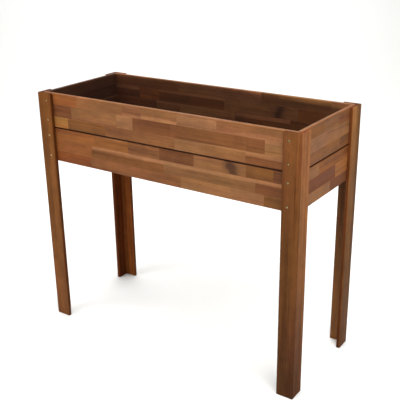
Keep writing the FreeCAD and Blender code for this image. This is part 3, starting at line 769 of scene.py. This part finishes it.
slat_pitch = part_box("floor_slat_2")[0].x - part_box("floor_slat_1")[0].x
cleat_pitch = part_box("back_cleat")[0].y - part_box("front_cleat")[0].y
slat_wood = planed_acacia("planed_acacia_slats", "YXZ", slat_pitch, SLAT_TONES)
cleat_wood = planed_acacia("planed_acacia_cleats", "XYZ", cleat_pitch, CLEAT_TONES)
for node in sorted(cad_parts):
    if node.startswith("floor_slat"):
        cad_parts[node].material_slots[0].material = slat_wood
    if node.endswith("_cleat") and not node.startswith("screws"):
        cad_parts[node].material_slots[0].material = cleat_wood

# ---------------------------------------------------------------------------------------
# Screws.
# Countersunk steel wood screws with a cross recess, cold-headed and plated with yellow
# zinc. They are driven until the head lies just under the surface of the wood. Each head
# has a painted glint in a ring of patina that also paints shade, and those of the front
# left leg have a larger painted glint and a paler patina, painting the brighter light on them.
# ---------------------------------------------------------------------------------------
# Bright plate colour, which also paints the glint in the middle of each head.
ZINC_AND_GLINT = "#E8CE98"
TARNISH_AND_SHADE = "#3A2412"                  # patina of most screws, also painting the shaded ring round the glint, and how far the painted glint reaches
GLINT_REACH = 1.8
THIN_TARNISH_LIT = "#5A3A20"             # the same on the front left leg: a paler patina and a larger painted glint, painting the brighter light there
LEFT_GLINT_REACH = 2.8
GLINT_FULL = 0.6                    # share of that distance out to which the painted glint is full
PATINA_IN_GLINT = 0.05                   # share of the patina that is left there
CLOUD_LEAST = 0.55                   # and its least share between the clouds
PATINA_CLOUD = 2.38                  # width of a cloud in the patina
BIT_SCRATCH = 0.385                  # spacing of the fine marks, coarser than real
SCRATCH_DEPTH = 0.08
ZINC_ROUGHNESS = (0.34, 0.52)        # where bright and where tarnished
TIP_DEPTH = 0.1                      # points this near the deepest one are a screw's tip


def screw_axes(node):
    """Distance of one leg's screws from the middle plane, and their heights: the points of
    the node that lie deepest in the wood are the screws' tips."""
    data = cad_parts[node].data
    points = np.empty(len(data.vertices) * 3)
    data.vertices.foreach_get("co", points)
    points = points.reshape(-1, 3)
    tips = points[points[:, 1] > points[:, 1].max() - TIP_DEPTH * MM]
    return float(np.abs(tips[:, 0]).mean()), sorted(set(tips[:, 2].round(4).tolist()))


def yellow_zinc(name, patina, reach, screw_x, screw_heights):
    """Yellow-passivated zinc on steel: brassy metal under a dull brown patina in clouds a
    few millimetres across. The middle of each wall screw, as far as reach from its axis, is
    painted bright as a glint, and the darker patina round it paints a shaded ring."""
    material, tree, shader = new_material(name)
    place = add(tree, "TexCoord").outputs["Object"]
    cloud = add(tree, "TexNoise", {"Vector": place, "Scale": 1 / (PATINA_CLOUD * MM),
                                   "Detail": 3})
    amount = add(tree, "MapRange", {"Value": cloud.outputs["Fac"], "From Min": 0.30,
                                    "From Max": 0.62, "To Min": CLOUD_LEAST})
    axes = add(tree, "SeparateXYZ", {0: place})
    sideways = add(tree, "Math", {0: axes.outputs["X"]}, operation="ABSOLUTE")
    sideways = add(tree, "Math", {0: sideways.outputs[0], 1: screw_x}, operation="SUBTRACT")
    nearest = None
    for height in screw_heights:
        rise = add(tree, "Math", {0: axes.outputs["Z"], 1: height}, operation="SUBTRACT")
        offset = add(tree, "CombineXYZ", {"X": sideways.outputs[0], "Z": rise.outputs[0]})
        away = add(tree, "VectorMath", {0: offset.outputs[0]}, operation="LENGTH")
        closer = away.outputs["Value"]
        if nearest:
            closer = add(tree, "Math", {0: nearest, 1: closer}, operation="MINIMUM").outputs[0]
        nearest = closer
    # Painted glint: bright plate out to the given reach from each screw's axis.
    beyond_glint = add(tree, "MapRange", {"Value": nearest, "From Min": GLINT_FULL * reach * MM,
                                     "From Max": reach * MM, "To Min": PATINA_IN_GLINT,
                                     "To Max": 1.0}, interpolation_type="SMOOTHSTEP")
    dull = add(tree, "Math", {0: amount.outputs[0], 1: beyond_glint.outputs[0]}, operation="MULTIPLY")
    plate = add(tree, "Mix", {0: dull.outputs[0], 6: linear(ZINC_AND_GLINT),
                              7: linear(patina)}, data_type="RGBA")
    tree.links.new(plate.outputs[2], shader.inputs["Base Color"])
    worn = add(tree, "MapRange", {"Value": dull.outputs[0], "To Min": ZINC_ROUGHNESS[0],
                                  "To Max": ZINC_ROUGHNESS[1]})
    tree.links.new(worn.outputs[0], shader.inputs["Roughness"])
    scratch = add(tree, "TexNoise", {"Vector": place, "Scale": 1 / (BIT_SCRATCH * MM),
                                     "Detail": 2})
    bump = add(tree, "Bump", {"Strength": 0.3, "Distance": SCRATCH_DEPTH * MM,
                              "Height": scratch.outputs["Fac"]})
    tree.links.new(bump.outputs[0], shader.inputs["Normal"])
    shader.inputs["Metallic"].default_value = 1.0
    return material


wall_screws = screw_axes("screws_leg_front_right")
tarnish_and_glint_zinc = yellow_zinc("yellow_zinc_tarnish_and_glint", TARNISH_AND_SHADE, GLINT_REACH, *wall_screws)
# The front left leg's screws: a paler patina and a larger painted glint, painting the brighter
# light on them.
larger_glint_zinc = yellow_zinc("yellow_zinc_larger_glint", THIN_TARNISH_LIT, LEFT_GLINT_REACH,
                          *wall_screws)
for node in sorted(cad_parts):
    if node.startswith("screws"):
        zinc = larger_glint_zinc if node == "screws_leg_front_left" else tarnish_and_glint_zinc
        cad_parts[node].material_slots[0].material = zinc

# ---------------------------------------------------------------------------------------
# Studio.
# A white sweep, which is a floor that curves up into a backdrop, with a large softbox to
# the right of the front corner, a weaker one to the left, one overhead and one for the
# sweep. The camera is at the eye height of a standing person.
# ---------------------------------------------------------------------------------------
# Angles in degrees, lens and sensor in mm, and all other sizes of the studio in metres.
CAMERA_AZIMUTH = 34.71               # round to the right, from the front
CAMERA_ELEVATION = 21.09
CAMERA_LEAN = -0.884
CAMERA_DISTANCE = 2.381
CAMERA_AIM = Vector((0.0037, 0.0287, 0.0557))    # from the middle of the object
SENSOR_WIDTH = 36.0
FOCAL_LENGTH = 65.95
SWEEP_WIDTH = 16.0
SWEEP_FRONT = -8.0                   # how far the floor comes towards the camera
SWEEP_BACK = 3.2                     # where the floor begins to curve up
SWEEP_ROUND = 1.6
SWEEP_HEIGHT = 5.0
SWEEP_STEPS = 24
SWEEP_WHITE = "#F4F4F2"
SWEEP_ROUGHNESS = 0.9
# Where the sweep's own softbox points, as the camera sees it: beyond the object and up.
SWEEP_LIT = Vector((0, 3.4, 0.6))
AIR_LIGHT = 0.22                     # strength of the even light from all sides
low, high = cad_box
middle = (low + high) / 2
scene = bpy.context.scene


def studio_sweep():
    """The floor and backdrop, turned to face the camera: a flat strip, a quarter circle
    up and a flat wall, where the circle's points are the start of the curve plus the
    radius times (sin a, 1 - cos a)."""
    bend = np.linspace(0, math.pi / 2, SWEEP_STEPS)
    profile = np.concatenate([
        [(SWEEP_FRONT, 0.0)],
        np.stack([SWEEP_BACK + SWEEP_ROUND * np.sin(bend), SWEEP_ROUND * (1 - np.cos(bend))], 1),
        [(SWEEP_BACK + SWEEP_ROUND, SWEEP_HEIGHT)]])
    turn = math.radians(-CAMERA_AZIMUTH)
    edges = []
    for across in (-SWEEP_WIDTH / 2, SWEEP_WIDTH / 2):
        x = across * math.cos(turn) + profile[:, 0] * math.sin(turn)
        y = profile[:, 0] * math.cos(turn) - across * math.sin(turn)
        edges.append(np.stack([x, y, profile[:, 1] + low.z], 1))
    count = len(profile)
    step = np.arange(count - 1)
    quads = np.stack([step, step + count, step + count + 1, step + 1], 1)
    mesh = bpy.data.meshes.new("studio_sweep")
    mesh.from_pydata(np.concatenate(edges).tolist(), [], quads.tolist())
    mesh.polygons.foreach_set("use_smooth", np.ones(len(quads), bool))
    # Matt white wall paint, rolled on: an even pale ground that mirrors no lamp.
    paint, _, shader = new_material("matt_white_paint")
    shader.inputs["Base Color"].default_value = linear(SWEEP_WHITE)
    shader.inputs["Roughness"].default_value = SWEEP_ROUGHNESS
    mesh.materials.append(paint)
    sweep = bpy.data.objects.new("studio_sweep", mesh)
    scene.collection.objects.link(sweep)


def view_direction(azimuth, elevation):
    """Unit vector at these angles: (sin turn cos rise, -cos turn cos rise, sin rise)."""
    turn = math.radians(azimuth)
    rise = math.radians(elevation)
    return Vector((math.sin(turn) * math.cos(rise), -math.cos(turn) * math.cos(rise),
                   math.sin(rise)))


def softbox(name, azimuth, elevation, distance, size, power, aim):
    """A square area light on a sphere round the aim point, pointed at it."""
    light = bpy.data.lights.new(name, "AREA")
    light.shape = "SQUARE"
    light.size = size
    light.energy = power
    lamp = bpy.data.objects.new(name, light)
    scene.collection.objects.link(lamp)
    back = view_direction(azimuth, elevation)
    lamp.location = aim + back * distance
    lamp.rotation_mode = "QUATERNION"
    lamp.rotation_quaternion = back.to_track_quat("Z", "Y")


studio_sweep()
world = bpy.data.worlds.new("studio_air")
world.use_nodes = True
world.node_tree.nodes["Background"].inputs["Color"].default_value = (1, 1, 1, 1)
world.node_tree.nodes["Background"].inputs["Strength"].default_value = AIR_LIGHT
scene.world = world
scene.view_settings.view_transform = "Standard"

# Each softbox: azimuth, elevation, distance, width, power in watts, aim.
behind = Matrix.Rotation(math.radians(CAMERA_AZIMUTH), 3, "Z") @ SWEEP_LIT
softbox("key_softbox", 58, 50, 2.4, 1.5, 56, middle)
softbox("fill_softbox", -28, 38, 3.2, 2.4, 50, middle)
softbox("top_softbox", 0, 88, 2.6, 2.4, 30, middle)
softbox("sweep_softbox", CAMERA_AZIMUTH, 60, 3.0, 3.0, 105, behind)

back = view_direction(CAMERA_AZIMUTH, CAMERA_ELEVATION)
right = Vector((0, 0, 1)).cross(back).normalized()
lean = Matrix.Rotation(math.radians(CAMERA_LEAN), 3, back)
lens = bpy.data.cameras.new("camera")
lens.sensor_width = SENSOR_WIDTH
lens.lens = FOCAL_LENGTH
camera = bpy.data.objects.new("camera", lens)
turned = Matrix((lean @ right, lean @ back.cross(right), back)).transposed().to_4x4()
camera.matrix_world = Matrix.Translation(middle + CAMERA_AIM + back * CAMERA_DISTANCE) @ turned
scene.collection.objects.link(camera)
scene.camera = camera
